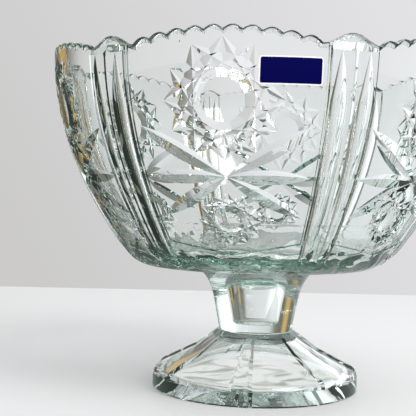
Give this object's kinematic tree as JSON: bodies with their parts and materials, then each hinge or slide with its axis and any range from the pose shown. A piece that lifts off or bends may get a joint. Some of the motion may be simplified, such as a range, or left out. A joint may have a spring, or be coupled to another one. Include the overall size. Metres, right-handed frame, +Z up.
{
  "type": "punch bowl",
  "caption": "Footed clear glass punch bowl with cut star pattern, fluted pilasters, toothed rim, flared hollow stem and ribbed round foot.",
  "frame": {"origin": "centre of the foot's resting ring, on the surface that the bowl stands on", "axes": "+Z up along the axis of the bowl, stem and foot; -Y through the middle of the front bowl panel, with the label on its +X side"},
  "size_m": [0.2442, 0.2386, 0.1912],
  "materials": {
    "foot_glass": "fire-polished clear glass",
    "stem_glass": "fire-polished clear glass",
    "bowl_glass": "pressed and fire-polished clear glass",
    "bond_film": "clear cured adhesive",
    "label_white": "white film, satin",
    "label_navy": "plain navy print, satin"
  },
  "bodies": {
    "root": {"foot": "foot_glass", "lower_bond": "bond_film", "stem": "stem_glass", "upper_bond": "bond_film", "bowl": "bowl_glass", "label_backing": "label_white", "label_face": "label_navy"}
  },
  "joints": []
}
